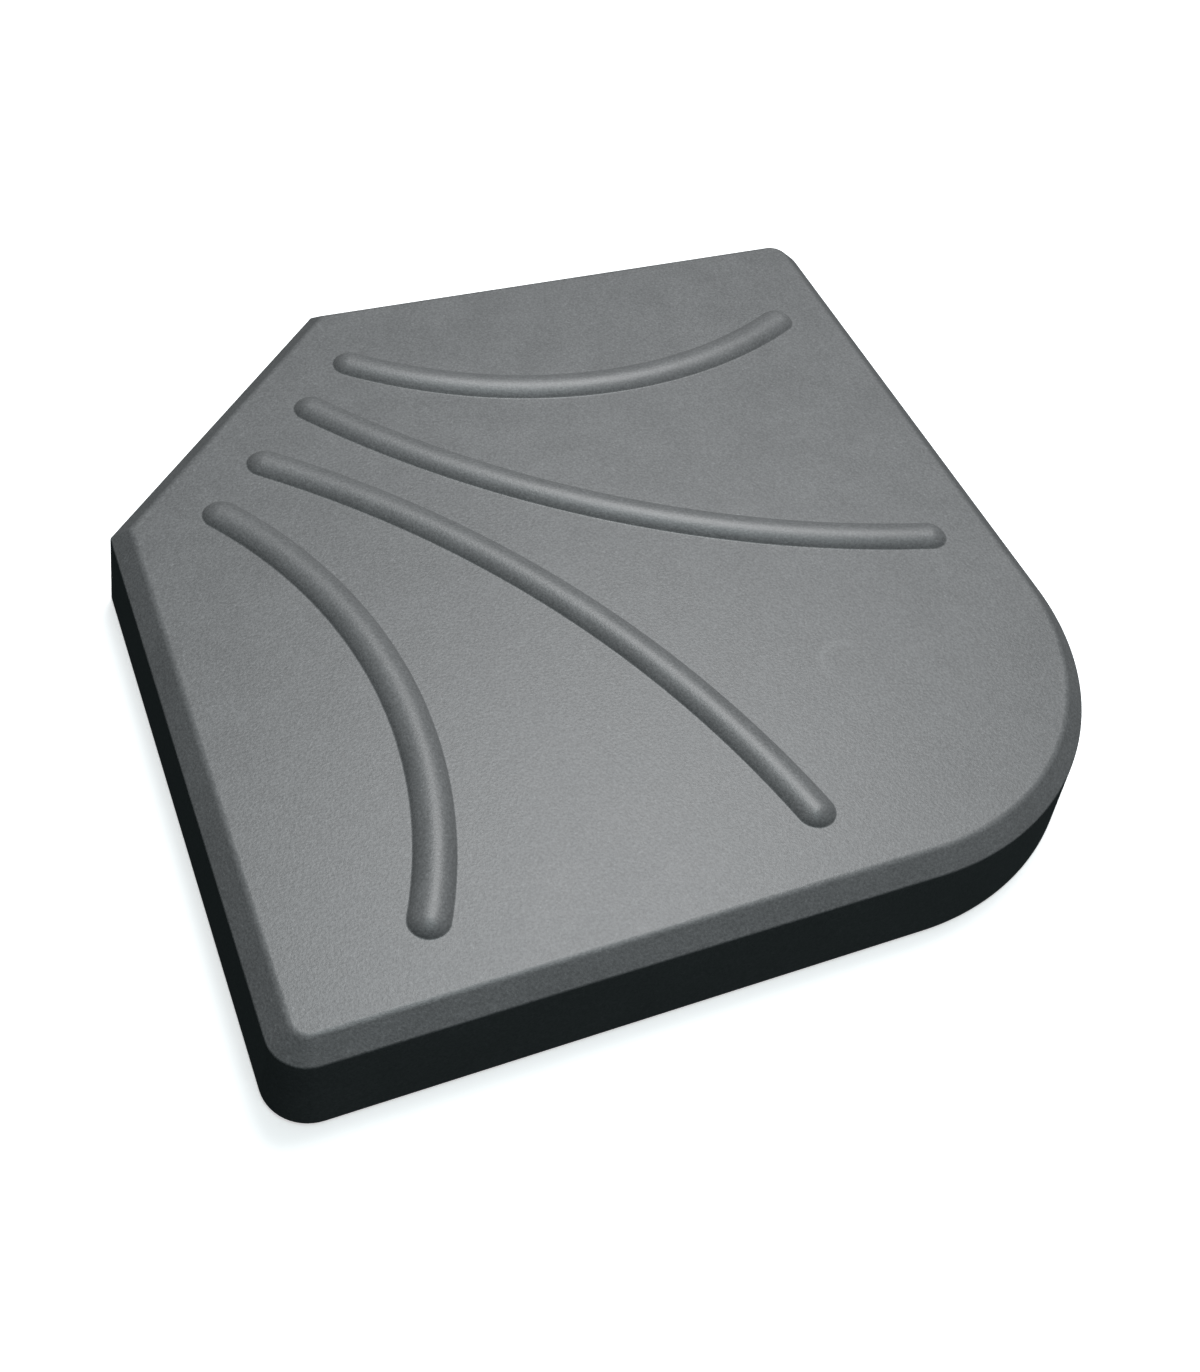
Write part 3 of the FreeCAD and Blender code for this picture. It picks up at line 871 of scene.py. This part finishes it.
def makeSweep(settings):
    mesh = sweepMesh(settings)
    mesh.materials.append(makeSweepMaterial(settings))
    sweep = bpy.data.objects.new("sweep", mesh)
    scene.collection.objects.link(sweep)
    sweep.visible_diffuse = False       # its bounce would fill the dark sides
    sweep.visible_glossy = False


def makeLamp(name, lamp, target):
    up, around = math.radians(lamp["elevation"]), math.radians(lamp["azimuth"])
    away = Vector((math.cos(up) * math.cos(around), math.cos(up) * math.sin(around), math.sin(up)))
    light = bpy.data.lights.new(name, "AREA")
    light.shape = "DISK"
    light.color = lamp["colour"]
    light.size = lamp["size"]
    area = math.pi * (lamp["size"] / 2) ** 2
    light.energy = lamp["radiance"] * math.pi * area        # watts of an evenly bright disk
    holder = bpy.data.objects.new(name, light)
    holder.location = target + away * lamp["distance"]
    holder.rotation_euler = away.to_track_quat("Z", "Y").to_euler()
    holder.visible_camera = False
    scene.collection.objects.link(holder)


def makeRoom(settings):
    world = bpy.data.worlds.new("room")
    world.use_nodes = True
    background = world.node_tree.nodes["Background"]
    background.inputs["Color"].default_value = settings["colour"]
    background.inputs["Strength"].default_value = settings["strength"]
    scene.world = world


makeSweep(sweepSet)
slabMiddle = (Vector(cadBox[0]) + Vector(cadBox[1])) / 2
for lampName, lampSet in lamps.items():
    makeLamp(lampName, lampSet, slabMiddle)
makeRoom(roomSet)
scene.view_settings.view_transform = "Standard"
print("stage 5: studio ready")


# camera

cameraSet = {
    "place": (-0.2990, -0.5402, 0.6809),
    "forward": (0.3281, 0.5549, -0.7645),
    "roll": 10.69,              # degrees, right side up
    "lens": 49.2,               # millimetres, as is the sensor
    "sensor": 36.0,
    "clipStart": 0.01,
}


def makeCamera(settings):
    data = bpy.data.cameras.new("camera")
    data.sensor_fit = "HORIZONTAL"
    data.sensor_width = settings["sensor"]
    data.lens = settings["lens"]
    data.clip_start = settings["clipStart"]
    camera = bpy.data.objects.new("camera", data)
    look = Vector(settings["forward"]).to_track_quat("-Z", "Y").to_matrix()
    roll = Matrix.Rotation(math.radians(settings["roll"]), 3, "Z")
    camera.matrix_world = Matrix.Translation(settings["place"]) @ (look @ roll).to_4x4()
    scene.collection.objects.link(camera)
    scene.camera = camera


makeCamera(cameraSet)
print("stage 6: camera placed")
